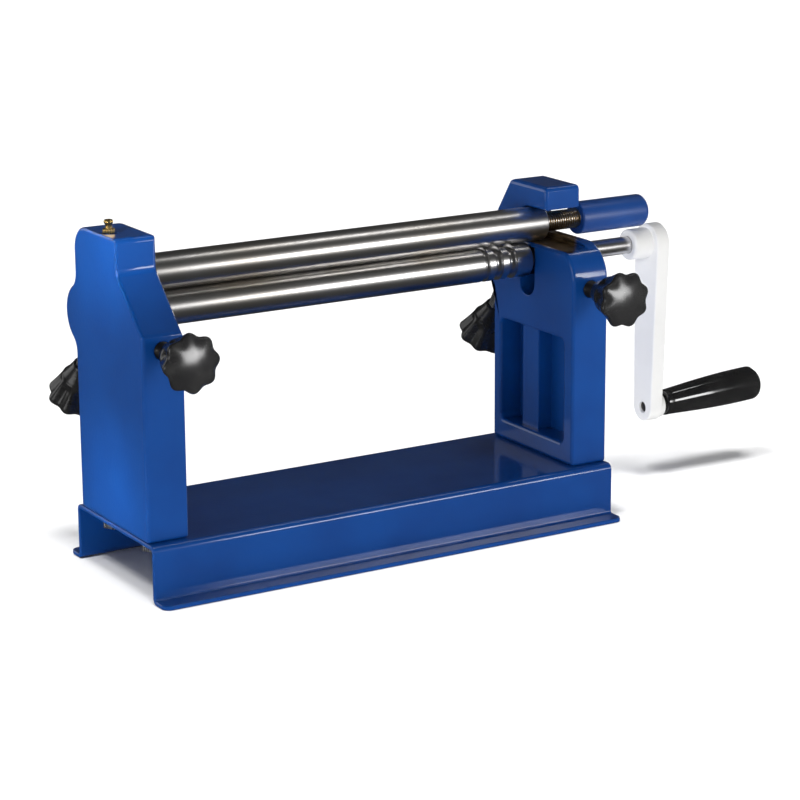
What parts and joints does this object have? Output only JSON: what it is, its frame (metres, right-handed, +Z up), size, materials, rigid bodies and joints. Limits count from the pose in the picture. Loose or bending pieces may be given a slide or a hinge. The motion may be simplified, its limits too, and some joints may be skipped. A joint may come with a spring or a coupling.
{
  "type": "plate rolling machine",
  "caption": "Hand-cranked bench roll that curves sheet metal between steel rolls in cast side frames on a bent base, with star-knob adjusters and a swing-out upper roll.",
  "frame": {"origin": "middle of the base's footprint, on the bench", "axes": "+X along the rolls towards the crank, +Y from the knob front to the back, +Z up"},
  "size_m": [0.5585, 0.2055, 0.248],
  "materials": {
    "blue_paint": "glossy blue paint on cast iron and bent sheet steel",
    "white_paint": "glossy white paint",
    "roll_steel": "ground and polished steel",
    "zinc_steel": "plated steel",
    "dark_steel": "oiled dark steel",
    "bronze": "plain bearing bronze",
    "brass": "machined brass",
    "black_plastic": "satin black moulded plastic",
    "black_gloss": "glossy black moulded plastic"
  },
  "bodies": {
    "stand": {"base_channel": "blue_paint", "left_frame": "blue_paint", "right_frame": "blue_paint", "frame_bolts": "zinc_steel", "frame_washers": "zinc_steel", "grease_nipple": "brass", "socket_ring": "dark_steel"},
    "release_ball": {"ball_bush": "bronze"},
    "upper_roll": {"upper_roll": "roll_steel", "release_handle": "blue_paint"},
    "lower_blocks": {"lower_left_block": "dark_steel", "lower_right_block": "dark_steel", "lower_left_bush": "bronze", "lower_right_bush": "bronze"},
    "drive": {"lower_roll": "roll_steel", "crank_arm": "white_paint", "crank_grub_screw": "dark_steel", "grip_spindle": "zinc_steel"},
    "grip": {"crank_grip": "black_gloss"},
    "front_left_wedge": {"front_left_wedge_pin": "dark_steel"},
    "front_right_wedge": {"front_right_wedge_pin": "dark_steel"},
    "front_left_knob": {"front_left_screw": "zinc_steel", "front_left_knob": "black_plastic"},
    "front_right_knob": {"front_right_screw": "zinc_steel", "front_right_knob": "black_plastic"},
    "rear_blocks": {"rear_left_block": "dark_steel", "rear_right_block": "dark_steel", "rear_left_bush": "bronze", "rear_right_bush": "bronze"},
    "rear_roll": {"rear_roll": "roll_steel"},
    "rear_left_knob": {"rear_left_screw": "zinc_steel", "rear_left_knob": "black_plastic"},
    "rear_right_knob": {"rear_right_screw": "zinc_steel", "rear_right_knob": "black_plastic"}
  },
  "joints": [
    {"name": "upper_roll_release", "type": "hinge", "parent": "stand", "child": "release_ball", "pos_m": [-0.171, 0.008, 0.209], "axis": [0, 0, 1], "range_deg": [-14, 0]},
    {"name": "upper_roll_spin", "type": "hinge", "parent": "release_ball", "child": "upper_roll", "pos_m": [0, 0.008, 0.209], "axis": [1, 0, 0], "continuous": true},
    {"name": "lower_roll_lift", "type": "slide", "parent": "stand", "child": "lower_blocks", "axis": [0, 0, 1], "range_m": [-0.006, 0]},
    {"name": "crank_turn", "type": "hinge", "parent": "lower_blocks", "child": "drive", "pos_m": [0, 0.008, 0.1835], "axis": [1, 0, 0], "continuous": true},
    {"name": "grip_spin", "type": "hinge", "parent": "drive", "child": "grip", "pos_m": [0.272, 0.008, 0.0565], "axis": [0.9988, 0, 0.0489], "continuous": true},
    {"name": "front_left_feed", "type": "slide", "parent": "stand", "child": "front_left_wedge", "axis": [0, 1, 0], "range_m": [-0.006, 0]},
    {"name": "front_left_turn", "type": "hinge", "parent": "front_left_wedge", "child": "front_left_knob", "pos_m": [-0.17, -0.06, 0.17], "axis": [0, 1, 0], "range_deg": [-1234.3, 0]},
    {"name": "front_right_feed", "type": "slide", "parent": "stand", "child": "front_right_wedge", "axis": [0, 1, 0], "range_m": [-0.006, 0]},
    {"name": "front_right_turn", "type": "hinge", "parent": "front_right_wedge", "child": "front_right_knob", "pos_m": [0.17, -0.06, 0.17], "axis": [0, 1, 0], "range_deg": [-1234.3, 0]},
    {"name": "rear_roll_lift", "type": "slide", "parent": "stand", "child": "rear_blocks", "axis": [0, -0.5299, 0.848], "range_m": [-0.011, 0.011]},
    {"name": "rear_roll_spin", "type": "hinge", "parent": "rear_blocks", "child": "rear_roll", "pos_m": [0, 0.03907, 0.18633], "axis": [1, 0, 0], "continuous": true},
    {"name": "rear_left_turn", "type": "hinge", "parent": "rear_blocks", "child": "rear_left_knob", "pos_m": [-0.17, 0.0449, 0.177], "axis": [0, -0.5299, 0.848], "range_deg": [-2262.9, 2262.9]},
    {"name": "rear_right_turn", "type": "hinge", "parent": "rear_blocks", "child": "rear_right_knob", "pos_m": [0.17, 0.0449, 0.177], "axis": [0, -0.5299, 0.848], "range_deg": [-2262.9, 2262.9]}
  ],
  "couplings": [
    {"joint": "front_left_feed", "follows": "lower_roll_lift", "ratio": 1},
    {"joint": "front_right_feed", "follows": "lower_roll_lift", "ratio": 1},
    {"joint": "front_left_turn", "follows": "lower_roll_lift", "rad_per_m": 3590.4},
    {"joint": "front_right_turn", "follows": "lower_roll_lift", "rad_per_m": 3590.4},
    {"joint": "rear_left_turn", "follows": "rear_roll_lift", "rad_per_m": 3590.4},
    {"joint": "rear_right_turn", "follows": "rear_roll_lift", "rad_per_m": 3590.4}
  ]
}
